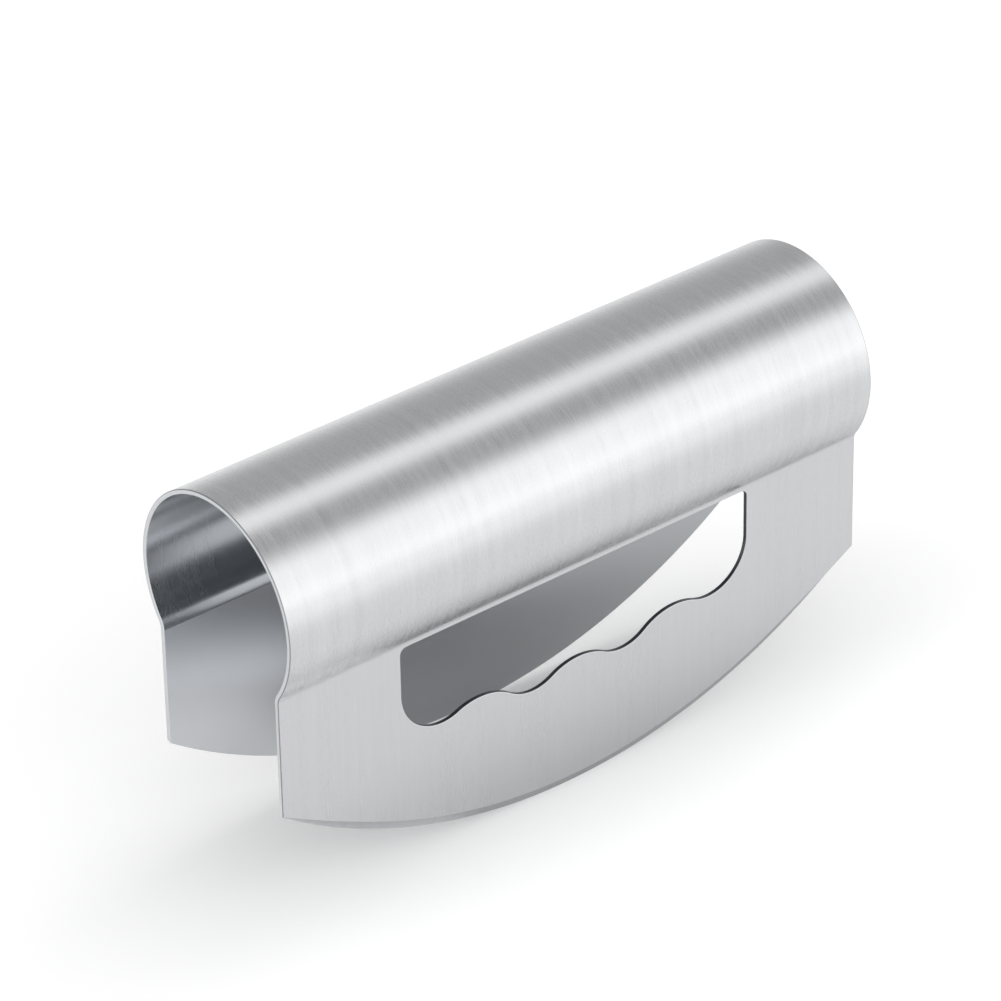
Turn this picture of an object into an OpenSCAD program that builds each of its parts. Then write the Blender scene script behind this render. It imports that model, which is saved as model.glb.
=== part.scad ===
// Double-blade chopper: one steel sheet rolled into an open grip tube,
// bent back at both sides and hanging down as two parallel curved blades.
// X runs along the grip, Y across the blades, Z up.
// The origin is midway between the lowest points of the two cutting edges.

/* [Sheet] */
// Length of the sheet along the grip
sheet_length = 150; // [120:1:180]
// Thickness of the sheet
sheet_t = 1; // [0.8:0.1:1.4]

/* [Grip tube] */
// Outside diameter of the grip tube
grip_d = 45.5; // [42:0.5:56]
// Outside radius of the bend between the tube and each blade
bend_r = 3; // [1:0.25:5]

/* [Blades] */
// Clear width between the two blades
blade_gap = 34.5; // [28:0.5:37]
// Height of each blade's flat, from its lowest point up to the bend
blade_h = 50; // [46:0.1:60]
// Radius of the curved cutting edge
edge_r = 128.6; // [110:0.2:220]
// Height of the bevel ground on the outer face
bevel_h = 2; // [1:0.25:4]

/* [Finger windows] */
// Number of finger scallops along the lower side
finger_count = 4; // [3:1:4]
// Distance between the centres of neighbouring scallops
finger_pitch = 23.4; // [21:0.2:26]
// Radius of each scallop
finger_r = 10.2; // [9:0.2:11]
// Height of the humps above the scallops
hump_h = 3.3; // [2:0.1:4.5]
// Radius of the shallow arc that the scallops follow
scallop_line_r = 220; // [160:5:400]
// Height of the window, from that arc's lowest point to the top edge
window_h = 23.9; // [21:0.1:28]
// Radius of the two upper corners
window_corner_r = 1.5; // [0.5:0.25:4]
// Strip of flat sheet left between the window and the bend
window_top_strip = 0.2; // [0.2:0.1:3]

/* [Hidden] */
$fn = 180;

// Length of the cutting tools past the surfaces that they cut
past = 1;

// Tube, in the YZ plane
grip_r = grip_d / 2;
grip_inner_r = grip_r - sheet_t;
outer_face_y = blade_gap / 2 + sheet_t;
bend_y = outer_face_y + bend_r;
bend_drop = sqrt(pow(grip_r + bend_r, 2) - pow(bend_y, 2));
grip_z = blade_h + bend_drop;
// Angle below the horizontal at which the tube's wall turns into the bend
bend_angle = atan2(bend_drop, bend_y);

// Window, in the XZ plane: it hangs from the bend, and its scallops and humps
// lie on rays from one high centre
window_top = blade_h - window_top_strip;
window_floor = window_top - window_h;
ray_z = window_floor + scallop_line_r;
scallop_ray = scallop_line_r - finger_r;
ray_step = 2 * asin(finger_pitch / 2 / scallop_ray);
crest_ray = scallop_line_r - hump_h;
// Hump radius at which each hump touches its two scallops without a corner
hump_gap = crest_ray - scallop_ray * cos(ray_step / 2);
hump_chord2 = pow(crest_ray, 2) + pow(scallop_ray, 2)
  - 2 * crest_ray * scallop_ray * cos(ray_step / 2);
hump_r = (hump_chord2 - pow(finger_r, 2)) / (2 * (finger_r - hump_gap));
hump_ray = crest_ray + hump_r;

function on_ray(ray, angle) = [ray * sin(angle), ray_z - ray * cos(angle)];
function scallop_angle(i) = (i - (finger_count - 1) / 2) * ray_step;
function hump_angle(i) = scallop_angle(i) + ray_step / 2;
function scallop_centre(i) = on_ray(scallop_ray, scallop_angle(i));
function hump_centre(i) = on_ray(hump_ray, hump_angle(i));
function between(a, b, share) = a + (b - a) * share;
// Where scallop i meets hump j, on the line between their centres
function meeting(i, j) =
  between(scallop_centre(i), hump_centre(j), finger_r / (finger_r + hump_r));

half_window = scallop_centre(finger_count - 1)[0] + finger_r;
wall_foot = scallop_centre(0)[1];

// Sector of the YZ plane from one angle to another, wider than the tube
module sector(from, to) {
  reach = 2 * grip_d;
  middle = (from + to) / 2;
  polygon([
    [0, 0],
    reach * [cos(from), sin(from)],
    reach * [cos(middle), sin(middle)],
    reach * [cos(to), sin(to)]
  ]);
}

// Turns a profile in the YZ plane into a length of sheet along X
module along_grip(length) {
  rotate([90, 0, 90])
    linear_extrude(length, center = true)
      children();
}

// Turns an outline in the XZ plane into a block across one blade
module across_blade(from_y, to_y) {
  translate([0, to_y, 0])
    rotate([90, 0, 0])
      linear_extrude(to_y - from_y)
        children();
}

// Rolled tube, open at the bottom between the two bends
module grip_profile() {
  translate([0, grip_z])
    difference() {
      circle(r = grip_r);
      circle(r = grip_inner_r);
      sector(180 + bend_angle, 360 - bend_angle);
    }
}

// Flat of the rear blade with the bend above it, before any cut
module blade_profile() {
  translate([blade_gap / 2, 0])
    square([sheet_t, blade_h]);
  translate([bend_y, blade_h])
    intersection() {
      difference() {
        circle(r = bend_r + sheet_t);
        circle(r = bend_r);
      }
      sector(180 - bend_angle, 180);
    }
}

// Grinding cone: its rim is the cutting edge and its flank the bevel
module edge_cone() {
  depth = bend_y - blade_gap / 2;
  taper = bevel_h / sheet_t;
  translate([0, blade_gap / 2, edge_r])
    rotate([-90, 0, 0])
      cylinder(h = depth, r1 = edge_r, r2 = edge_r - depth * taper);
}

// Upright frame that holds the window, with its two upper corners rounded
module window_frame() {
  corner_x = half_window - window_corner_r;
  corner_z = window_top - window_corner_r;
  translate([-half_window, window_floor - past])
    square([2 * half_window, corner_z - window_floor + past]);
  translate([-corner_x, window_floor])
    square([2 * corner_x, window_h]);
  for (side = [-1, 1])
    translate([side * corner_x, corner_z])
      circle(r = window_corner_r);
}

// Everything above the wavy line of scallops
module above_scallops() {
  last = finger_count - 1;
  meetings = [
    for (i = [0 : last - 1])
      for (point = [meeting(i, i), meeting(i + 1, i)])
        point
  ];
  polygon(concat(
    [[-half_window, window_top + past], [-half_window, wall_foot]],
    meetings,
    [[half_window, wall_foot], [half_window, window_top + past]]
  ));
  for (i = [0 : last])
    translate(scallop_centre(i))
      circle(r = finger_r);
}

// Outline of the finger window
module window_outline() {
  difference() {
    intersection() {
      window_frame();
      above_scallops();
    }
    for (i = [0 : finger_count - 2])
      translate(hump_centre(i))
        circle(r = hump_r);
  }
}

// Rear blade with its bend, window, curved edge and outer bevel
module blade() {
  difference() {
    intersection() {
      along_grip(sheet_length)
        blade_profile();
      edge_cone();
    }
    across_blade(blade_gap / 2 - past, outer_face_y + past)
      window_outline();
  }
}

module grip() {
  color("silver")
    along_grip(sheet_length)
      grip_profile();
}

module rear_blade() {
  color("lightgray")
    blade();
}

module front_blade() {
  color("lightgray")
    mirror([0, 1, 0])
      blade();
}

grip();
front_blade();
rear_blade();
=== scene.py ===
"""Double-blade chopper of one bent steel sheet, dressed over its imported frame.

The sheet is drawn flat, as it leaves the press, in three zones: the grip and the two blades. Each zone
is a closed mesh with its rims, its window and its ground edge. One Geometry Nodes tree then rolls all
three from the crown of the grip, round the tube and back through the reverse bends, so that their
faces, normals and brush lines run on from one zone to the next.

Lengths are in metres. On the flat sheet X runs along the grip, Y is the distance from the crown line
and Z the height through the sheet, from its inner face to its outer one.
"""

from __future__ import annotations

import logging
import math
from dataclasses import dataclass, field, replace
from enum import Enum
from typing import Any, Sequence

import bpy
from mathutils import Matrix, Vector
from mathutils.geometry import tessellate_polygon

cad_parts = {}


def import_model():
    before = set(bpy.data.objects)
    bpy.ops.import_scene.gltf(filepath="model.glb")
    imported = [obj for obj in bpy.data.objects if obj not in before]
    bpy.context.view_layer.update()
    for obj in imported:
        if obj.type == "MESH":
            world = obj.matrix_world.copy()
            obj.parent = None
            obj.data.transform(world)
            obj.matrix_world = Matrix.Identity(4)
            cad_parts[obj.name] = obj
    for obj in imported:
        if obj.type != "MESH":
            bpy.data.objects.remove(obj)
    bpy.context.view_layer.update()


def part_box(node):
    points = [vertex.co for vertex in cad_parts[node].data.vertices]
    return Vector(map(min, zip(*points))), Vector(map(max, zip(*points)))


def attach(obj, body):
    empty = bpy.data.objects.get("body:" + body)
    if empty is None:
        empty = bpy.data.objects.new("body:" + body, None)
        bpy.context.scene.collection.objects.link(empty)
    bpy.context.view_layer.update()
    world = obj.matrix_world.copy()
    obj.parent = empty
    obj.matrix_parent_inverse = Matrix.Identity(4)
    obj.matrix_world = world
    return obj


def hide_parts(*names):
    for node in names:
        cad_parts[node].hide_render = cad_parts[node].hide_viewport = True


LOG = logging.getLogger("chopper")

MM = 0.001
# Points closer together than this are one point
SAME_PLACE = 1e-4 * MM
WHITE = (1.0, 1.0, 1.0, 1.0)
BODY = "root"
# Attributes that the flat sheet carries into the rolling tree
ZONE_ATTRIBUTE = "zone"
NORMAL_ATTRIBUTE = "flat_normal"
GRAIN_MAP = "grain"


class Zone(Enum):
    """Kinds of surface on the sheet. The value is the face attribute that the rolling tree reads."""

    SATIN = 0
    RIM = 1
    GROUND = 2
    LINING = 3
    CORNER = 4
    PUNCHED = 5
    HOOPED = 6
    BACK = 7


class Side(Enum):
    """Which blade it is, by the side of the crown line that it hangs from."""

    FRONT = -1
    REAR = 1


def linear_colour(code: str) -> tuple[float, float, float, float]:
    """Turns an sRGB hex code into linear red, green, blue and alpha.

    Args:
        code: Six hex digits, with or without a hash.

    Returns:
        The linear colour, with an alpha of 1.
    """
    digits = code.lstrip("#")
    channels = [int(digits[at : at + 2], 16) / 255 for at in (0, 2, 4)]
    red, green, blue = (
        c / 12.92 if c <= 0.04045 else ((c + 0.055) / 1.055) ** 2.4 for c in channels
    )
    return red, green, blue, 1.0


def add_node(
    tree: bpy.types.NodeTree,
    kind: str,
    inputs: dict[str | int, Any] | None = None,
    **settings: Any,
) -> bpy.types.Node:
    """Adds one node with its settings, its values and its links.

    Args:
        tree: The tree that gets the node.
        kind: The node's type name.
        inputs: A value, or an output socket to link, for each input by name or place.
        **settings: Properties of the node, such as its operation.

    Returns:
        The new node.
    """
    node = tree.nodes.new(kind)
    for name, value in settings.items():
        setattr(node, name, value)
    for key, value in (inputs or {}).items():
        socket = node.inputs[key]
        if isinstance(value, bpy.types.NodeSocket):
            tree.links.new(value, socket)
        else:
            socket.default_value = value
    return node


# Steps of a chain that aren't an operation of the Math node: their kind of node and its settings
OTHER_STEPS = {
    "FADE": ("ShaderNodeMapRange", {"interpolation_type": "SMOOTHSTEP"}),
    "SWITCH": ("GeometryNodeSwitch", {"input_type": "FLOAT"}),
}


def add_chain(
    tree: bpy.types.NodeTree, values: dict[str, Any], rows: Sequence[tuple[Any, ...]]
) -> None:
    """Adds the nodes of a table one after the other, each fed by the results before it.

    Args:
        tree: The tree that gets the nodes.
        values: Numbers and output sockets by name, to which each node's result is added.
        rows: For each node the name of its result, its step, and its inputs in order, each a number
            or the name of a value.
    """
    for name, step, *terms in rows:
        kind, settings = OTHER_STEPS.get(step, ("ShaderNodeMath", {"operation": step}))
        inputs = {at: values.get(term, term) for at, term in enumerate(terms)}
        values[name] = add_node(tree, kind, inputs, **settings).outputs[0]


@dataclass(frozen=True)
class Section:
    """Section of the bent sheet, square to the grip: half of it, which the other half mirrors."""

    thickness: float = 1.0 * MM
    grip_radius: float = 22.75 * MM
    bend_radius: float = 3.0 * MM
    blade_gap: float = 34.5 * MM
    blade_height: float = 50.0 * MM
    # Length of tube before each bend over which the press left the inner face soft
    bend_ease: float = 2.0 * MM

    @property
    def bend_centre_y(self) -> float:
        """Distance from the middle plane to the centre of the reverse bend."""
        return self.blade_gap / 2 + self.thickness + self.bend_radius

    @property
    def bend_drop(self) -> float:
        """Height of the tube's centre over the centre of the reverse bend."""
        reach = self.grip_radius + self.bend_radius
        return math.sqrt(reach**2 - self.bend_centre_y**2)

    @property
    def bend_angle(self) -> float:
        """Angle below the horizontal at which the tube's wall turns into the bend."""
        return math.atan2(self.bend_drop, self.bend_centre_y)

    @property
    def grip_z(self) -> float:
        """Height of the tube's centre."""
        return self.blade_height + self.bend_drop

    @property
    def to_bend(self) -> float:
        """Distance from the crown line to the bend, at mid-thickness, where no length changes."""
        return (self.grip_radius - self.thickness / 2) * (math.pi / 2 + self.bend_angle)

    @property
    def to_flat(self) -> float:
        """Distance along the sheet from the crown line to the start of the blade's flat."""
        return self.to_bend + (self.bend_radius + self.thickness / 2) * self.bend_angle

    def flat_distance(self, height: float) -> float:
        """Distance from the crown line to a height on the blade's flat."""
        return self.to_flat + self.blade_height - height

    def inner_normal(self, away: float) -> Vector:
        """Normal of the inner face before rolling, which starts to turn a little before the bend does.

        Args:
            away: Distance from the crown line, negative on the front side.

        Returns:
            The normal, as on the rear side of the flat sheet.
        """
        reach = abs(away)
        arc = self.to_flat - self.to_bend
        bent = min(1.0, max(0.0, (reach - self.to_bend) / arc))
        eased = min(1.0, max(0.0, (reach - self.to_bend + self.bend_ease) / (arc + self.bend_ease)))
        lean = (eased - bent) * self.bend_angle
        return Vector((0, math.copysign(math.sin(lean), away), -math.cos(lean)))


@dataclass(frozen=True)
class RimStep:
    """One line round a rim: its height in the sheet, its inset from the cut line, and its lean.

    The lean is the angle from the sheet's plane to the surface there: -90 degrees at the inner face,
    0 on the cut wall and 90 degrees at the outer face.
    """

    height: float
    inset: float
    lean: float

    def normal(self, out: Vector) -> Vector:
        """Surface normal on this line, where out points from the metal into the open."""
        return Vector((out.x * math.cos(self.lean), out.y * math.cos(self.lean), math.sin(self.lean)))


@dataclass(frozen=True)
class Corner:
    """A point of a face with the normal and the grain place that the face has there."""

    index: int
    normal: Vector
    grain: tuple[float, float]


@dataclass
class FlatSheet:
    """Closed mesh of one zone of the sheet before it is rolled."""

    side: float = 1.0
    points: list[Vector] = field(default_factory=list)
    faces: list[list[Corner]] = field(default_factory=list)
    zones: list[Zone] = field(default_factory=list)

    def corner(
        self, x: float, away: float, height: float, normal: Vector, grain: tuple[float, float]
    ) -> Corner:
        """Adds a point and gives its corner.

        Args:
            x: Place along the grip.
            away: Distance from the crown line, on this sheet's side.
            height: Height through the sheet.
            normal: Surface normal, as on the rear side.
            grain: Place on the grain map.

        Returns:
            The corner at the new point.
        """
        self.points.append(Vector((x, self.side * away, height)))
        return self.seen(Corner(len(self.points) - 1, Vector(), grain), normal, grain)

    def seen(self, corner: Corner, normal: Vector, grain: tuple[float, float]) -> Corner:
        """The same point as another face meets it, with that face's normal and grain place."""
        return Corner(corner.index, Vector((normal.x, self.side * normal.y, normal.z)), grain)

    def face(self, corners: Sequence[Corner], zone: Zone) -> None:
        """Adds a face and turns it to the side that its normals point to."""
        places = [self.points[c.index] for c in corners]
        area = Vector()
        for here, there in zip(places, places[1:] + places[:1]):
            area += here.cross(there)
        outward = sum((c.normal for c in corners), Vector())
        self.faces.append(list(corners) if area.dot(outward) > 0 else list(reversed(corners)))
        self.zones.append(zone)

    def strip(self, first: Sequence[Corner], second: Sequence[Corner], zone: Zone) -> None:
        """Joins two lines of as many points with a strip of four-sided faces."""
        for at in range(len(first) - 1):
            self.face((first[at], first[at + 1], second[at + 1], second[at]), zone)

    def sheet_face(self, rings: Sequence[Sequence[Corner]], zone: Zone) -> None:
        """Fills the flat area inside the first ring and outside the others with triangles."""
        corners = [corner for ring in rings for corner in ring]
        places = [[self.points[corner.index] / MM for corner in ring] for ring in rings]
        for triangle in tessellate_polygon(places):
            self.face([corners[at] for at in triangle], zone)

    def mesh(self, name: str) -> bpy.types.Mesh:
        """Makes the Blender mesh, with its grain map, zones and flat normals."""
        mesh = bpy.data.meshes.new(name)
        mesh.from_pydata(self.points, [], [[c.index for c in face] for face in self.faces])
        corners = [corner for face in self.faces for corner in face]
        grain = mesh.uv_layers.new(name=GRAIN_MAP)
        grain.uv.foreach_set("vector", [value for c in corners for value in c.grain])
        normals = mesh.attributes.new(NORMAL_ATTRIBUTE, "FLOAT_VECTOR", "CORNER")
        normals.data.foreach_set("vector", [value for c in corners for value in c.normal])
        zones = mesh.attributes.new(ZONE_ATTRIBUTE, "INT", "FACE")
        zones.data.foreach_set("value", [zone.value for zone in self.zones])
        return mesh


UP = Vector((0, 0, 1))
DOWN = Vector((0, 0, -1))
RIGHT = Vector((1, 0, 0))
LEFT = Vector((-1, 0, 0))


@dataclass(frozen=True)
class Rim:
    """The edge of the pressed sheet: a cut wall with both its corners rubbed round.

    The rounding is less than the strip between a window and its bend, which it would break through.
    """

    round_radius: float = 0.17 * MM
    round_steps: int = 4

    def steps(self, thickness: float) -> list[RimStep]:
        """The rim's lines from the inner face to the outer one."""
        steps = []
        for number in range(2 * self.round_steps + 2):
            outer = number > self.round_steps
            turn = number - self.round_steps - (1 if outer else 0)
            lean = math.radians(90 * turn / self.round_steps)
            inset = self.round_radius * (1 - math.cos(lean))
            over = self.round_radius * (1 - abs(math.sin(lean)))
            steps.append(RimStep(thickness - over if outer else over, inset, lean))
        return steps


# Corners of one end of the sheet: a line of them down each rim step, the inner face's first
EndLines = list[list[Corner]]


@dataclass(frozen=True)
class FingerWindow:
    """Opening for the fingers: a straight top, upright ends and a wavy floor of scallops and humps."""

    finger_count: int = 4
    finger_pitch: float = 23.4 * MM
    finger_radius: float = 10.2 * MM
    hump_height: float = 3.3 * MM
    line_radius: float = 220.0 * MM
    height: float = 23.9 * MM
    corner_radius: float = 1.5 * MM
    top_strip: float = 0.2 * MM
    arc_step: float = math.radians(3.0)

    def outline(self, blade_height: float, growth: float) -> list[tuple[Vector, Vector]]:
        """Points round the window, with the way into the opening at each.

        Args:
            blade_height: Height of the blade's flat, which the window hangs from.
            growth: How far the outline is moved into the metal.

        Returns:
            Place and direction pairs, anticlockwise, as many for every growth.
        """
        top = blade_height - self.top_strip
        ray_z = top - self.height + self.line_radius
        scallop_ray = self.line_radius - self.finger_radius
        crest_ray = self.line_radius - self.hump_height
        ray_step = 2 * math.asin(self.finger_pitch / 2 / scallop_ray)
        gap = crest_ray - scallop_ray * math.cos(ray_step / 2)
        chord = crest_ray**2 + scallop_ray**2 - 2 * crest_ray * scallop_ray * math.cos(ray_step / 2)
        hump_radius = (chord - self.finger_radius**2) / (2 * (self.finger_radius - gap))

        def on_ray(ray: float, number: float) -> Vector:
            angle = (number - (self.finger_count - 1) / 2) * ray_step
            return Vector((ray * math.sin(angle), ray_z - ray * math.cos(angle)))

        scallops = [on_ray(scallop_ray, number) for number in range(self.finger_count)]
        humps = [
            on_ray(crest_ray + hump_radius, number + 0.5) for number in range(self.finger_count - 1)
        ]
        half = scallops[-1].x + self.finger_radius
        points: list[tuple[Vector, Vector]] = []

        def arc(centre: Vector, radius: float, start: float, end: float, bulge: int) -> None:
            count = max(2, round(abs(end - start) / self.arc_step))
            for at in range(count + 1):
                angle = start + (end - start) * at / count
                way = Vector((math.cos(angle), math.sin(angle)))
                points.append((centre + way * (radius + bulge * growth), -bulge * way))

        def towards(here: Vector, there: Vector) -> float:
            return math.atan2(there.y - here.y, there.x - here.x)

        corner = Vector((half - self.corner_radius, top - self.corner_radius))
        arc(corner, self.corner_radius, 0, math.pi / 2, 1)
        corner = Vector((-corner.x, corner.y))
        arc(corner, self.corner_radius, math.pi / 2, math.pi, 1)
        start = -math.pi
        for number, scallop in enumerate(scallops):
            if number < len(humps):
                hump = humps[number]
                end = towards(scallop, hump)
                arc(scallop, self.finger_radius, start, end, 1)
                following = scallops[number + 1]
                arc(hump, hump_radius, towards(hump, scallop), towards(hump, following), -1)
                start = towards(following, hump)
                start -= 2 * math.pi if start > 0 else 0
            else:
                arc(scallop, self.finger_radius, start, 0, 1)
        return without_doubles(points)


def without_doubles(points: list[tuple[Vector, Vector]]) -> list[tuple[Vector, Vector]]:
    """Leaves out each point of a closed line that lies on the one before it."""
    return [
        point for at, point in enumerate(points) if (point[0] - points[at - 1][0]).length > SAME_PLACE
    ]


@dataclass
class SheetMetal:
    """What the three zones of the sheet share: its section, its length and its rim."""

    section: Section
    length: float
    rim: Rim

    def end(self, sheet: FlatSheet, way: Vector, stations: Sequence[Sequence[float]]) -> EndLines:
        """Adds one end's rim.

        Args:
            sheet: The sheet that gets it.
            way: RIGHT or LEFT.
            stations: For each rim step, the distances from the crown line of its points.

        Returns:
            The corners down the end, one line for each rim step.
        """
        lines = []
        for step, distances in zip(self.rim.steps(self.section.thickness), stations):
            x = way.x * (self.length / 2 - step.inset)
            normal = step.normal(way)
            lines.append(
                [sheet.corner(x, away, step.height, normal, (away, step.height)) for away in distances]
            )
        # The outer rounding of each end gets the corner's painted shade, the rest the rim's finish
        for at, (first, second) in enumerate(zip(lines, lines[1:])):
            sheet.strip(first, second, Zone.CORNER if at > self.rim.round_steps else Zone.RIM)
        return lines

    def faces(
        self,
        sheet: FlatSheet,
        left: EndLines,
        right: EndLines,
        count: int,
        outer_zone: Zone = Zone.SATIN,
    ) -> None:
        """Adds the inner and outer faces between the two ends, over the first stations."""
        outer = (satin(sheet, end[-1][:count], UP) for end in (left, right))
        sheet.strip(*outer, outer_zone)
        # The inner face of the tube and the bends gets the lining's painted shade
        inner = (self.lining(sheet, end[0][:count]) for end in (left, right))
        sheet.strip(*inner, Zone.LINING)

    def lining(self, sheet: FlatSheet, corners: Sequence[Corner]) -> list[Corner]:
        """The corners as the inner face meets them, with the normals eased into the bends."""
        eased = []
        for corner in corners:
            place = sheet.points[corner.index].to_2d()
            normal = self.section.inner_normal(sheet.side * place.y)
            eased.append(sheet.seen(corner, normal, tuple(place)))
        return eased

    def joint(self, sheet: FlatSheet, left: EndLines, right: EndLines, at: int, way: Vector) -> None:
        """Closes the sheet where it meets the next zone."""
        ring = [line[at] for line in left] + [line[at] for line in reversed(right)]
        sheet.face([sheet.seen(corner, way, corner.grain) for corner in ring], Zone.SATIN)


def satin(sheet: FlatSheet, corners: Sequence[Corner], normal: Vector) -> list[Corner]:
    """The corners as the brushed face meets them: flat, with the grain straight down the sheet."""
    return [sheet.seen(c, normal, tuple(sheet.points[c.index].to_2d())) for c in corners]


def spaced(start: float, end: float, count: int) -> list[float]:
    """Evenly spaced values from start to end, with count steps."""
    return [start + (end - start) * at / count for at in range(count + 1)]


@dataclass(frozen=True)
class Finish:
    """Stainless steel with a directional finish, drawn along the grain map.

    U on the map runs across the scratch lines and V along them. The lines are finer in the real
    sheet than a pixel of the render, so they are drawn as coarse as they need to show.
    """

    name: str
    dark: str
    light: str
    roughness: float
    anisotropy: float
    line_width: float
    line_length: float
    line_depth: float
    line_roughness: float
    streak_width: float = 2.2 * MM
    streak_length: float = 120 * MM
    streak_roughness: float = 0.05
    cloud_size: float = 30 * MM
    cloud_roughness: float = 0.04
    # How many finer patterns each noise adds to itself, and how strong they are in the scratches
    line_detail: float = 3.0
    streak_detail: float = 2.0
    cloud_detail: float = 2.0
    fray: float = 0.6
    # What lines and streaks each give to the way from the dark shade to the light one
    shade_share: float = 0.5

    def material(self) -> bpy.types.Material:
        """Builds the material."""
        material = bpy.data.materials.new(self.name)
        material.use_nodes = True
        tree = material.node_tree
        tree.nodes.clear()
        values: dict[str, Any] = {"roughness": self.roughness}
        grain = add_node(tree, "ShaderNodeUVMap", uv_map=GRAIN_MAP).outputs["UV"]
        for name, width, length, detail in (
            ("lines", self.line_width, self.line_length, self.line_detail),
            ("streaks", self.streak_width, self.streak_length, self.streak_detail),
        ):
            stretch = {"Vector": grain, "Scale": (1 / width, 1 / length, 1.0)}
            drawn = add_node(tree, "ShaderNodeMapping", stretch).outputs[0]
            noise = {"Vector": drawn, "Scale": 1.0, "Detail": detail, "Roughness": self.fray}
            values[name] = add_node(tree, "ShaderNodeTexNoise", noise, noise_dimensions="2D").outputs[0]
        place = add_node(tree, "ShaderNodeTexCoord").outputs["Object"]
        noise = {"Vector": place, "Scale": 1 / self.cloud_size, "Detail": self.cloud_detail}
        values["clouds"] = add_node(tree, "ShaderNodeTexNoise", noise).outputs[0]
        for name, amount in (
            ("lines", self.line_roughness),
            ("streaks", self.streak_roughness),
            ("clouds", self.cloud_roughness),
        ):
            rows = (
                ("offset", "MULTIPLY_ADD", name, 2 * amount, -amount),
                ("roughness", "ADD", "offset", "roughness"),
            )
            add_chain(tree, values, rows)
        tangent = add_node(tree, "ShaderNodeTangent", direction_type="UV_MAP", uv_map=GRAIN_MAP)
        surface: dict[str | int, Any] = {
            "Base Color": linear_colour(self.light),
            "Metallic": 1.0,
            "Roughness": values["roughness"],
            "Anisotropic": self.anisotropy,
            "Tangent": tangent.outputs["Tangent"],
        }
        if self.dark != self.light:
            rows = (
                ("shade", "MULTIPLY_ADD", "lines", self.shade_share, 0.0),
                ("shade", "MULTIPLY_ADD", "streaks", self.shade_share, "shade"),
            )
            add_chain(tree, values, rows)
            shades = {"Factor": values["shade"], 6: linear_colour(self.dark), 7: surface["Base Color"]}
            surface["Base Color"] = add_node(tree, "ShaderNodeMix", shades, data_type="RGBA").outputs[2]
        if self.line_depth > 0:
            bump = {"Height": values["lines"], "Distance": self.line_depth, "Strength": 1.0}
            surface["Normal"] = add_node(tree, "ShaderNodeBump", bump).outputs["Normal"]
        shader = add_node(tree, "ShaderNodeBsdfPrincipled", surface)
        add_node(tree, "ShaderNodeOutputMaterial", {"Surface": shader.outputs[0]})
        return material


# Cold-rolled stainless sheet, brushed in one direction before it was bent. The eye gets a soft even
# silver on the blades, with brush lines so fine that they hardly show.
SATIN_BRUSHED = Finish(
    name="satin_brushed_stainless",
    dark="#C2C2C5",
    light="#CFD0D2",
    roughness=0.29,
    anisotropy=0.8,
    line_width=0.22 * MM,
    line_length=7 * MM,
    line_depth=0.0015 * MM,
    line_roughness=0.03,
)
# The same sheet round the tube, where a belt went over it once more after the rolling. The eye gets
# fine hoop lines that fray the edges of the highlights, which smear along the grip.
HOOP_BRUSHED = Finish(
    name="hoop_brushed_stainless",
    dark="#BBBCBE",
    light="#D7D8D9",
    roughness=0.28,
    anisotropy=0.8,
    line_width=0.25 * MM,
    line_length=4 * MM,
    line_depth=0.010 * MM,
    line_roughness=0.10,
)
# Inner face of the tube, as the mill's rolls left it: of one shade and flat, with glossier and duller
# lines. Its grey is painted darker as the shade inside the tube; the eye gets it with sharp bands, so the
# tube reads deep.
SHADED_MILL_LINING = Finish(
    name="mill_rolled_stainless_painted_shade",
    dark="#ACAFB3",
    light="#ACAFB3",
    roughness=0.26,
    anisotropy=0.7,
    line_width=0.3 * MM,
    line_length=5 * MM,
    line_depth=0.0,
    line_roughness=0.02,
    streak_roughness=0.02,
)
# The same face on the blades, where washing took the lines off, in the sheet's plain grey without the
# lining's painted shade. The eye gets an even satin grey whose lights are a little cloudy.
MILL_BACK = replace(
    SHADED_MILL_LINING,
    name="rubbed_mill_stainless",
    dark="#C7C9CC",
    light="#C7C9CC",
    roughness=0.29,
    anisotropy=0.8,
    line_roughness=0.0,
    streak_roughness=0.0,
)
# Punched edge, rubbed round in a tumbler. The eye gets a bright thin line with a duller wall.
TUMBLED_RIM = Finish(
    name="tumbled_cut_stainless",
    dark="#BFC1C4",
    light="#D6D8DA",
    roughness=0.34,
    anisotropy=0.0,
    line_width=0.25 * MM,
    line_length=1.2 * MM,
    line_depth=0.006 * MM,
    line_roughness=0.06,
)
# Wall of the finger window, torn rough by the punch, with its grey painted dark as shade. The eye gets a
# dark line of painted shade round the window, inside the bright line of its rubbed corner.
PUNCHED_WALL_PAINTED_SHADE = replace(
    TUMBLED_RIM, name="punched_wall_painted_shade", dark="#57595C", light="#6F7174", roughness=0.45
)
# Outer corner of the sheet's two ends, with the file's fine tooth marks and its grey painted dark as
# shade.
# The eye gets a thin dark line of painted shade that parts the bright end face from the bright tube.
CORNER_PAINTED_SHADE = Finish(
    name="filed_corner_painted_shade",
    dark="#808386",
    light="#979A9D",
    roughness=0.4,
    anisotropy=0.0,
    line_width=0.3 * MM,
    line_length=1.0 * MM,
    line_depth=0.004 * MM,
    line_roughness=0.05,
)
# Bevel ground on a belt, across the edge, with its grey painted darker as shade. The eye gets a narrow
# band that is a shade darker.
GROUND_BEVEL_AND_SHADE = Finish(
    name="belt_ground_painted_shade_stainless",
    dark="#A0A2A5",
    light="#BEBFC1",
    roughness=0.33,
    anisotropy=0.5,
    line_width=0.25 * MM,
    line_length=3 * MM,
    line_depth=0.008 * MM,
    line_roughness=0.05,
)


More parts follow.
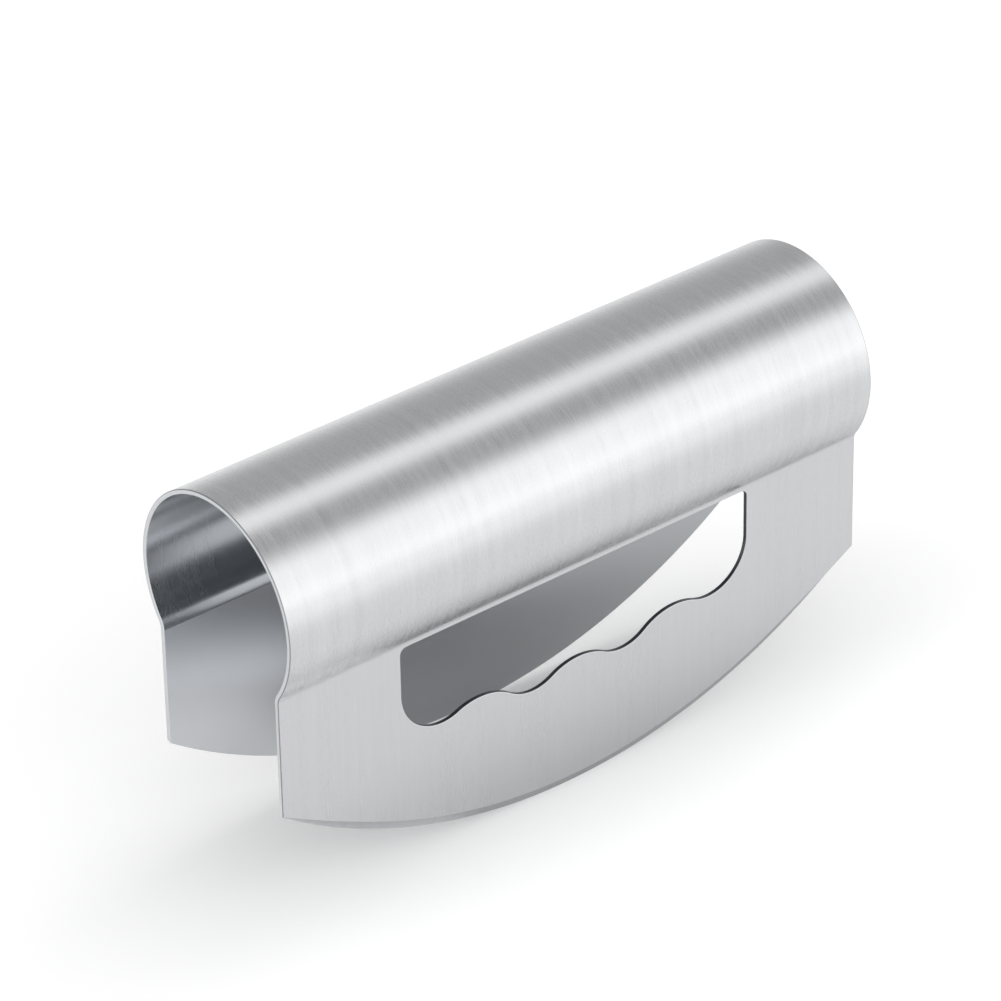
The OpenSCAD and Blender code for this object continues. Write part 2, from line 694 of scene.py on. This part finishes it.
# Where each point of the flat sheet goes, and how far the sheet has turned there. Names in capitals
# are the tree's sizes.
ROLLING_CHAIN = (
    ("away", "ABSOLUTE", "flat y"),
    ("side", "SIGN", "flat y"),
    ("half thickness", "MULTIPLY", "Thickness", 0.5),
    # Round the tube
    ("neutral radius", "SUBTRACT", "Grip Radius", "half thickness"),
    ("tube turn", "DIVIDE", "away", "neutral radius"),
    ("inner radius", "SUBTRACT", "Grip Radius", "Thickness"),
    ("radius", "ADD", "inner radius", "flat z"),
    ("tube sine", "SINE", "tube turn"),
    ("tube cosine", "COSINE", "tube turn"),
    ("tube y", "MULTIPLY", "radius", "tube sine"),
    ("tube z", "MULTIPLY_ADD", "radius", "tube cosine", "Grip Height"),
    # Back through the bend, by the angle that is left until the blade hangs straight
    ("past bend", "SUBTRACT", "away", "Crown To Bend"),
    ("bend neutral", "ADD", "Bend Radius", "half thickness"),
    ("bent", "DIVIDE", "past bend", "bend neutral"),
    ("unbent", "SUBTRACT", "Bend Angle", "bent"),
    ("left", "MAXIMUM", "unbent", 0.0),
    ("left sine", "SINE", "left"),
    ("left cosine", "COSINE", "left"),
    ("bend outer", "ADD", "Bend Radius", "Thickness"),
    ("reach", "SUBTRACT", "bend outer", "flat z"),
    ("inward", "MULTIPLY", "reach", "left cosine"),
    ("blade y", "SUBTRACT", "Bend Centre", "inward"),
    # Straight down the flat
    ("past flat", "SUBTRACT", "away", "Crown To Flat"),
    ("drop", "MAXIMUM", "past flat", 0.0),
    ("height", "SUBTRACT", "Blade Height", "drop"),
    ("blade z", "MULTIPLY_ADD", "reach", "left sine", "height"),
    ("blade turn", "ADD", "left", math.pi / 2),
    # Whichever of the two the point is in, on its own side
    ("in blade", "GREATER_THAN", "past bend", 0.0),
    ("rolled y", "SWITCH", "in blade", "tube y", "blade y"),
    ("place y", "MULTIPLY", "side", "rolled y"),
    ("place z", "SWITCH", "in blade", "tube z", "blade z"),
    ("turn", "SWITCH", "in blade", "tube turn", "blade turn"),
    ("turn of side", "MULTIPLY", "side", "turn"),
)


@dataclass
class RollingBench:
    """Geometry Nodes tree that rolls a flat sheet, with the finishes that it hands out by zone."""

    section: Section
    finishes: dict[Zone, bpy.types.Material]
    tree: bpy.types.GeometryNodeTree = field(init=False)

    def __post_init__(self) -> None:
        """Builds the tree."""
        self.tree = bpy.data.node_groups.new("roll_from_crown", "GeometryNodeTree")
        interface = self.tree.interface
        interface.new_socket("Sheet", in_out="INPUT", socket_type="NodeSocketGeometry")
        for name in self.sizes():
            interface.new_socket(name, in_out="INPUT", socket_type="NodeSocketFloat")
        for zone in Zone:
            interface.new_socket(self.finish_name(zone), in_out="INPUT", socket_type="NodeSocketMaterial")
        interface.new_socket("Sheet", in_out="OUTPUT", socket_type="NodeSocketGeometry")
        self.lay_nodes()

    def sizes(self) -> dict[str, float]:
        """The tree's named sizes, worked out from the section."""
        section = self.section
        return {
            "Thickness": section.thickness,
            "Grip Radius": section.grip_radius,
            "Grip Height": section.grip_z,
            "Bend Radius": section.bend_radius,
            "Bend Angle": section.bend_angle,
            "Bend Centre": section.bend_centre_y,
            "Blade Height": section.blade_height,
            "Crown To Bend": section.to_bend,
            "Crown To Flat": section.to_flat,
        }

    @staticmethod
    def finish_name(zone: Zone) -> str:
        """The name of the tree's material input for a zone."""
        return f"{zone.name.title()} Finish"

    def lay_nodes(self) -> None:
        """Adds the nodes: the place and turn of each point, the normals and the finishes."""
        tree = self.tree
        given = add_node(tree, "NodeGroupInput").outputs
        position = add_node(tree, "GeometryNodeInputPosition").outputs[0]
        flat = add_node(tree, "ShaderNodeSeparateXYZ", {0: position}).outputs
        values: dict[str, Any] = {name: given[name] for name in self.sizes()}
        values |= {"flat y": flat["Y"], "flat z": flat["Z"]}
        add_chain(tree, values, ROLLING_CHAIN)
        place = {"X": flat["X"], "Y": values["place y"], "Z": values["place z"]}
        there = add_node(tree, "ShaderNodeCombineXYZ", place).outputs[0]
        capture = tree.nodes.new("GeometryNodeCaptureAttribute")
        capture.capture_items.new("FLOAT", "Turn")
        tree.links.new(given["Sheet"], capture.inputs["Geometry"])
        tree.links.new(values["turn of side"], capture.inputs["Turn"])
        move = {"Geometry": capture.outputs["Geometry"], "Position": there}
        sheet = add_node(tree, "GeometryNodeSetPosition", move).outputs[0]

        # The normals of the flat sheet turn with it
        read = "GeometryNodeInputNamedAttribute"
        normal = add_node(tree, read, {"Name": NORMAL_ATTRIBUTE}, data_type="FLOAT_VECTOR").outputs[0]
        values["turn"] = capture.outputs["Turn"]
        add_chain(tree, values, (("back turn", "MULTIPLY", "turn", -1.0),))
        turn = {"Vector": normal, "Angle": values["back turn"]}
        turned = add_node(tree, "ShaderNodeVectorRotate", turn, rotation_type="X_AXIS").outputs[0]
        shade = {"Mesh": sheet, "Custom Normal": turned}
        sheet = add_node(tree, "GeometryNodeSetMeshNormal", shade, mode="TANGENT_SPACE").outputs[0]

        # The whole sheet gets the first finish, and then each other zone its own
        sheet = add_node(tree, "GeometryNodeRealizeInstances", {"Geometry": sheet}).outputs[0]
        values["zone"] = add_node(tree, read, {"Name": ZONE_ATTRIBUTE}, data_type="INT").outputs[0]
        for zone in Zone:
            finish = {"Geometry": sheet, "Material": given[self.finish_name(zone)]}
            if zone is not Zone.SATIN:
                add_chain(tree, values, (("here", "COMPARE", "zone", float(zone.value), 0.5),))
                finish["Selection"] = values["here"]
            sheet = add_node(tree, "GeometryNodeSetMaterial", finish).outputs[0]
        add_node(tree, "NodeGroupOutput", {"Sheet": sheet})

    def roll(self, name: str, sheet: FlatSheet) -> bpy.types.Object:
        """Rolls a flat sheet into its place.

        Args:
            name: The piece's name.
            sheet: The flat sheet.

        Returns:
            The rolled piece, a plain mesh with no modifier.
        """
        blank = bpy.data.objects.new(f"{name}_flat", sheet.mesh(f"{name}_flat"))
        bpy.context.scene.collection.objects.link(blank)
        modifier = blank.modifiers.new("roll", "NODES")
        modifier.node_group = self.tree
        values: dict[str, Any] = dict(self.sizes())
        values |= {self.finish_name(zone): finish for zone, finish in self.finishes.items()}
        for item in self.tree.interface.items_tree:
            if item.in_out == "INPUT" and item.name in values:
                modifier[item.identifier] = values[item.name]
        evaluated = blank.evaluated_get(bpy.context.evaluated_depsgraph_get())
        mesh = bpy.data.meshes.new_from_object(evaluated)
        mesh.name = name
        for attribute in (ZONE_ATTRIBUTE, NORMAL_ATTRIBUTE):
            mesh.attributes.remove(mesh.attributes[attribute])
        drop_unused_finishes(mesh)
        bpy.data.objects.remove(blank)
        piece = bpy.data.objects.new(name, mesh)
        bpy.context.scene.collection.objects.link(piece)
        return piece


def drop_unused_finishes(mesh: bpy.types.Mesh) -> None:
    """Takes out the material slots that no face of a mesh uses."""
    used = {polygon.material_index for polygon in mesh.polygons}
    for index in reversed(range(len(mesh.materials))):
        if index not in used:
            mesh.materials.pop(index=index)


@dataclass
class Grip:
    """The open tube that the hand holds."""

    metal: SheetMetal
    stations: int = 168
    node: str = "grip"
    slot: str = "grip_steel"

    def build(self, bench: RollingBench) -> bpy.types.Object:
        """Makes the flat zone and rolls it."""
        sheet = FlatSheet()
        reach = self.metal.section.to_bend
        steps = self.metal.rim.steps(self.metal.section.thickness)
        stations = [spaced(-reach, reach, self.stations)] * len(steps)
        left, right = (self.metal.end(sheet, way, stations) for way in (LEFT, RIGHT))
        self.metal.faces(sheet, left, right, self.stations + 1, Zone.HOOPED)
        self.metal.joint(sheet, left, right, 0, Vector((0, -1, 0)))
        self.metal.joint(sheet, left, right, -1, Vector((0, 1, 0)))
        return bench.roll("grip_tube", sheet)


@dataclass
class Blade:
    """One blade: its bend, its flat with the finger window, and its curved ground edge."""

    metal: SheetMetal
    side: Side
    window: FingerWindow
    edge_radius: float = 128.6 * MM
    bevel_height: float = 2.0 * MM
    end_bevel: float = 0.4 * MM
    bevel_runout: float = 24.0 * MM
    bend_steps: int = 14
    end_steps: int = 6
    edge_steps: int = 120
    # How far the normals at the bevel's upper line turn to the outer face, which rubs it soft
    rubbed_share: float = 0.7
    # Steps of the window's outer rounding that the tumbler polished; the rest of its wall gets the
    # painted shade
    bright_steps: int = 2
    slot: str = "blade_steel"

    @property
    def node(self) -> str:
        """The CAD node that this blade stands for."""
        return f"{self.side.name.lower()}_blade"

    def local_bevel(self, x: float) -> float:
        """Height of the bevel at a place along the grip, which runs out towards the two ends."""
        short = max(0.0, 1 - (self.metal.length / 2 - abs(x)) / self.bevel_runout)
        return self.bevel_height + (self.end_bevel - self.bevel_height) * short**2

    def edge_height(self, x: float, height: float) -> float:
        """Height of the lower edge at a place along the grip and a height through the sheet."""
        radius = self.edge_radius - self.local_bevel(x) * height / self.metal.section.thickness
        return self.edge_radius - math.sqrt(radius**2 - x**2)

    def end_stations(self, step: RimStep) -> list[float]:
        """Distances from the crown line down one end of the blade, at one rim step."""
        section = self.metal.section
        edge_z = self.edge_height(self.metal.length / 2 - step.inset, step.height)
        bend = spaced(section.to_bend, section.to_flat, self.bend_steps)
        return bend + spaced(section.to_flat, section.flat_distance(edge_z), self.end_steps)[1:]

    def edge_line(self, sheet: FlatSheet, step: RimStep, left: Corner, right: Corner) -> list[Corner]:
        """Adds the line of the ground edge at one rim step, between the corners of the two ends."""
        section = self.metal.section
        half = self.metal.length / 2 - step.inset
        rubbed = self.rubbed_share * max(0.0, 2 * step.height / section.thickness - 1)
        corners = []
        for at, x in enumerate(spaced(-half, half, self.edge_steps)):
            edge_z = self.edge_height(x, step.height)
            slope = self.local_bevel(x) / section.thickness
            out = Vector((x, self.edge_radius - edge_z)).normalized()
            normal = Vector((out.x, out.y, slope)).normalized().lerp(UP, rubbed).normalized()
            along = self.edge_radius * math.asin(x / self.edge_radius)
            grain = (along, step.height * math.hypot(1, slope))
            if at in (0, self.edge_steps):
                corners.append(sheet.seen(left if at == 0 else right, normal, grain))
            else:
                away = section.flat_distance(edge_z)
                corners.append(sheet.corner(x, away, step.height, normal, grain))
        return corners

    def window_line(self, sheet: FlatSheet, step: RimStep) -> list[Corner]:
        """Adds the line round the window at one rim step."""
        section = self.metal.section
        corners = []
        along = 0.0
        before = None
        for place, way in self.window.outline(section.blade_height, step.inset):
            along += (place - before).length if before is not None else 0.0
            before = place
            normal = step.normal(Vector((way.x, -way.y)))
            grain = (along, step.height)
            away = section.flat_distance(place.y)
            corners.append(sheet.corner(place.x, away, step.height, normal, grain))
        return corners

    def build(self, bench: RollingBench) -> bpy.types.Object:
        """Makes the flat zone with its window and edge, and rolls it."""
        sheet = FlatSheet(side=float(self.side.value))
        steps = self.metal.rim.steps(self.metal.section.thickness)
        stations = [self.end_stations(step) for step in steps]
        left, right = (self.metal.end(sheet, way, stations) for way in (LEFT, RIGHT))
        self.metal.faces(sheet, left, right, self.bend_steps + 1)
        self.metal.joint(sheet, left, right, 0, Vector((0, -1, 0)))
        edge = [
            self.edge_line(sheet, step, left[at][-1], right[at][-1])
            for at, step in enumerate(steps)
        ]
        for first, second in zip(edge, edge[1:]):
            sheet.strip(first, second, Zone.GROUND)
        window = [self.window_line(sheet, step) for step in steps]
        for at, (first, second) in enumerate(zip(window, window[1:])):
            zone = Zone.RIM if at >= len(steps) - self.bright_steps - 1 else Zone.PUNCHED
            sheet.strip(first + first[:1], second + second[:1], zone)
        for normal, at, zone in ((DOWN, 0, Zone.BACK), (UP, -1, Zone.SATIN)):
            outline = left[at][self.bend_steps :] + edge[at][1:-1]
            outline += right[at][: self.bend_steps - 1 : -1]
            rings = [satin(sheet, ring, normal) for ring in (outline, window[at])]
            sheet.sheet_face(rings, zone)
        return bench.roll(f"{self.node}_sheet", sheet)


def fit_to_frame(piece: bpy.types.Object, node: str) -> None:
    """Puts a piece on the body, in the place of its CAD node, which it hides."""
    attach(piece, BODY)
    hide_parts(node)
    LOG.info("%s stands for %s, %d faces", piece.name, node, len(piece.data.polygons))


# How much the paper is lifted at a place of the floor. Names with an underscore are the studio's
# sizes. A fade's inputs are its value, where it starts and ends, and the results there.
FLOOR_CHAIN = (
    # Towards the front of the floor, and away from the object
    ("front", "FADE", "y", "front_to", "front_from", "front_lift", 0.0),
    ("around", "FADE", "seen distance", "lift_from", "lift_to", "shadow_lift", "lift"),
    ("for camera", "ADD", "around", "front"),
    ("around", "FADE", "metal distance", "lift_from", "lift_to", 0.0, "lift"),
    ("for metal", "ADD", "around", "front"),
    # Painted glow between the blades at the near end, for reflections only
    ("off middle", "ABSOLUTE", "y"),
    ("strip", "FADE", "off middle", "gleam_from", "gleam_to", "gleam", 0.0),
    ("end", "FADE", "x", "open_to", "open_from", 1.0, 0.0),
    ("strip", "MULTIPLY", "strip", "end"),
    ("for metal", "ADD", "for metal", "strip"),
    # There too, a painted glow seen only in the second of two reflections
    ("past echo", "SUBTRACT", "y", "echo_centre"),
    ("off echo", "ABSOLUTE", "past echo"),
    ("strip", "FADE", "off echo", "echo_from", "echo_to", "echo", 0.0),
    ("end", "FADE", "x", "echo_near", "echo_far", 1.0, 0.0),
    ("second", "COMPARE", "glossy depth", 2.0, 0.5),
    ("strip", "MULTIPLY", "strip", "end"),
    ("strip", "MULTIPLY", "strip", "second"),
    ("for metal", "ADD", "for metal", "strip"),
    # Whichever the ray is for
    ("seen", "MAXIMUM", "camera ray", "transmission ray"),
    ("strength", "MULTIPLY", "glossy ray", "for metal"),
    ("strength", "MULTIPLY_ADD", "seen", "for camera", "strength"),
)


@dataclass(frozen=True)
class Panel:
    """A long soft panel of the light tent, which runs along the grip from end to end.

    Its place and reach are angles round the grip, from the level in front of it (0) over the top (90
    degrees) to the level behind it (180 degrees).
    """

    centre: float
    half_width: float
    softness: float
    radiance: float


@dataclass
class Studio:
    """Pale floor and a tent of light with two soft panels over the object."""

    floor_size: float = 6.0
    floor_colour: str = "#F4F4F4"
    # Lift of the paper, by the distance from the object. The stretch draws that in along the grip
    lift: float = 0.27
    lift_from: float = 10 * MM
    lift_to: float = 60 * MM
    seen_stretch: float = 0.35
    metal_stretch: float = 0.2
    shadow_lift: float = 0.15
    # Painted glow strip between the blades, seen only in reflections: half its width, and where along the
    # grip it fades out
    gleam: float = 0.38
    gleam_from: float = 14 * MM
    gleam_to: float = 30 * MM
    open_from: float = -22 * MM
    open_to: float = -36 * MM
    # The same for the brighter painted glow that shows only in the second of two reflections
    echo: float = 1.5
    echo_centre: float = -11 * MM
    echo_from: float = 8 * MM
    echo_to: float = 18 * MM
    echo_near: float = -20 * MM
    echo_far: float = -2 * MM
    # Lift of the front of the floor, across the grip
    front_lift: float = 0.35
    front_from: float = -100 * MM
    front_to: float = -400 * MM
    # Light of the tent at the level, and above a height as a share of the way to its top
    level_light: float = 0.85
    high_light: float = 0.56
    high: float = 0.4
    panels: tuple[Panel, ...] = (
        Panel(math.radians(24), math.radians(27), math.radians(28), 0.95),
        Panel(math.radians(97), math.radians(11), math.radians(18), 0.85),
    )

    def build(self) -> None:
        """Builds the floor and the tent."""
        self.build_floor()
        self.build_tent()

    def build_floor(self) -> None:
        """Adds the floor at the height where the two edges stand."""
        half = self.floor_size / 2
        mesh = bpy.data.meshes.new("floor")
        corners = [(-half, -half, 0), (half, -half, 0), (half, half, 0), (-half, half, 0)]
        mesh.from_pydata(corners, [], [(0, 1, 2, 3)])
        floor = bpy.data.objects.new("floor", mesh)
        bpy.context.scene.collection.objects.link(floor)
        mesh.materials.append(self.floor_material())

    def floor_material(self) -> bpy.types.Material:
        """Matt pale paper, lifted towards white for the camera and in reflections.

        The lift falls away under the object, so that its soft shadow stays, and it grows towards the
        front of the floor, out of the picture, as a painted glow for the light of the front panel. Only
        the steel's reflections see two more painted glows: a bright strip of paper between the blades and
        just in front of them at the near end, and a brighter one that shows only in the second of two
        reflections (the echo), so that the rear blade's inner face is light right up to its bend.
        """
        material = bpy.data.materials.new("matt_paper")
        material.use_nodes = True
        tree = material.node_tree
        tree.nodes.clear()
        path = add_node(tree, "ShaderNodeLightPath").outputs
        place = add_node(tree, "ShaderNodeTexCoord").outputs["Object"]
        parts = add_node(tree, "ShaderNodeSeparateXYZ", {0: place}).outputs
        values: dict[str, Any] = vars(self) | {
            "x": parts["X"],
            "y": parts["Y"],
            "camera ray": path["Is Camera Ray"],
            "transmission ray": path["Is Transmission Ray"],
            "glossy ray": path["Is Glossy Ray"],
            "glossy depth": path["Glossy Depth"],
        }
        for name, stretch in (("seen", self.seen_stretch), ("metal", self.metal_stretch)):
            both = {0: place, 1: (stretch, 1, 1)}
            drawn_in = add_node(tree, "ShaderNodeVectorMath", both, operation="MULTIPLY").outputs[0]
            distance = add_node(tree, "ShaderNodeVectorMath", {0: drawn_in}, operation="LENGTH")
            values[f"{name} distance"] = distance.outputs["Value"]
        add_chain(tree, values, FLOOR_CHAIN)
        paper = add_node(tree, "ShaderNodeBsdfDiffuse", {"Color": linear_colour(self.floor_colour)})
        lift = add_node(tree, "ShaderNodeEmission", {"Color": WHITE, "Strength": values["strength"]})
        lifted = add_node(tree, "ShaderNodeAddShader", {0: paper.outputs[0], 1: lift.outputs[0]})
        add_node(tree, "ShaderNodeOutputMaterial", {"Surface": lifted.outputs[0]})
        return material

    def build_tent(self) -> None:
        """Adds the tent as the world: bright at the level, greyer above, with its panels.

        The camera sees it white, like the paper, so that no line parts the two in a level view.
        """
        world = bpy.data.worlds.new("tent")
        bpy.context.scene.world = world
        world.use_nodes = True
        tree = world.node_tree
        tree.nodes.clear()
        direction = add_node(tree, "ShaderNodeTexCoord").outputs["Generated"]
        parts = add_node(tree, "ShaderNodeSeparateXYZ", {0: direction}).outputs
        path = add_node(tree, "ShaderNodeLightPath").outputs
        values = {"y": parts["Y"], "z": parts["Z"], "camera ray": path["Is Camera Ray"]}
        rows = [
            ("light", "FADE", "z", 0.0, self.high, self.level_light, self.high_light),
            ("front", "MULTIPLY", "y", -1.0),
            ("angle", "ARCTAN2", "z", "front"),
        ]
        for panel in self.panels:
            inner = panel.half_width - panel.softness / 2
            outer = inner + panel.softness
            rows += [
                ("past", "SUBTRACT", "angle", panel.centre),
                ("off", "ABSOLUTE", "past"),
                ("glow", "FADE", "off", inner, outer, panel.radiance, 0.0),
                ("light", "ADD", "light", "glow"),
            ]
        rows.append(("light", "MAXIMUM", "light", "camera ray"))
        add_chain(tree, values, rows)
        tent = add_node(tree, "ShaderNodeBackground", {"Color": WHITE, "Strength": values["light"]})
        add_node(tree, "ShaderNodeOutputWorld", {"Surface": tent.outputs[0]})


@dataclass(frozen=True)
class Viewpoint:
    """The photograph's camera, solved from the rings and the cutting edges of the grip and blades."""

    pivot: tuple[float, float, float] = (0.0, 0.0, 45.0 * MM)
    azimuth: float = math.radians(-39.87)
    elevation: float = math.radians(30.74)
    roll: float = math.radians(-1.06)
    slide: float = 3.40 * MM
    lift: float = -10.40 * MM
    distance: float = 1046.33 * MM
    sensor: float = 36.0
    lens: float = 188.96

    def place(self) -> None:
        """Adds the camera and makes it the scene's own."""
        level = Vector((math.sin(self.azimuth), -math.cos(self.azimuth), 0))
        back = level * math.cos(self.elevation) + UP * math.sin(self.elevation)
        right = UP.cross(back).normalized()
        up = back.cross(right)
        rolled_right = math.cos(self.roll) * right + math.sin(self.roll) * up
        rolled_up = math.cos(self.roll) * up - math.sin(self.roll) * right
        lens = bpy.data.cameras.new("camera")
        lens.sensor_width = self.sensor
        lens.lens = self.lens
        camera = bpy.data.objects.new("camera", lens)
        where = Vector(self.pivot) + self.distance * back
        where -= self.slide * rolled_right + self.lift * rolled_up
        axes = Matrix((rolled_right, rolled_up, back)).transposed()
        camera.matrix_world = Matrix.Translation(where) @ axes.to_4x4()
        bpy.context.scene.collection.objects.link(camera)
        bpy.context.scene.camera = camera


def main() -> None:
    """Builds the chopper, its studio and its camera."""
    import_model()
    low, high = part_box("grip")
    metal = SheetMetal(Section(), high.x - low.x, Rim())
    bench = RollingBench(
        metal.section,
        {
            Zone.SATIN: SATIN_BRUSHED.material(),
            Zone.RIM: TUMBLED_RIM.material(),
            Zone.GROUND: GROUND_BEVEL_AND_SHADE.material(),
            Zone.LINING: SHADED_MILL_LINING.material(),
            Zone.CORNER: CORNER_PAINTED_SHADE.material(),
            Zone.PUNCHED: PUNCHED_WALL_PAINTED_SHADE.material(),
            Zone.HOOPED: HOOP_BRUSHED.material(),
            Zone.BACK: MILL_BACK.material(),
        },
    )
    window = FingerWindow()
    zones = (
        Grip(metal),
        Blade(metal, Side.FRONT, window),
        Blade(metal, Side.REAR, window),
    )
    for zone in zones:
        fit_to_frame(zone.build(bench), zone.node)
    Studio().build()
    Viewpoint().place()
    scene = bpy.context.scene
    scene.view_settings.view_transform = "Standard"


if __name__ == "__main__":
    logging.basicConfig(level=logging.INFO, format="%(name)s: %(message)s")
    main()
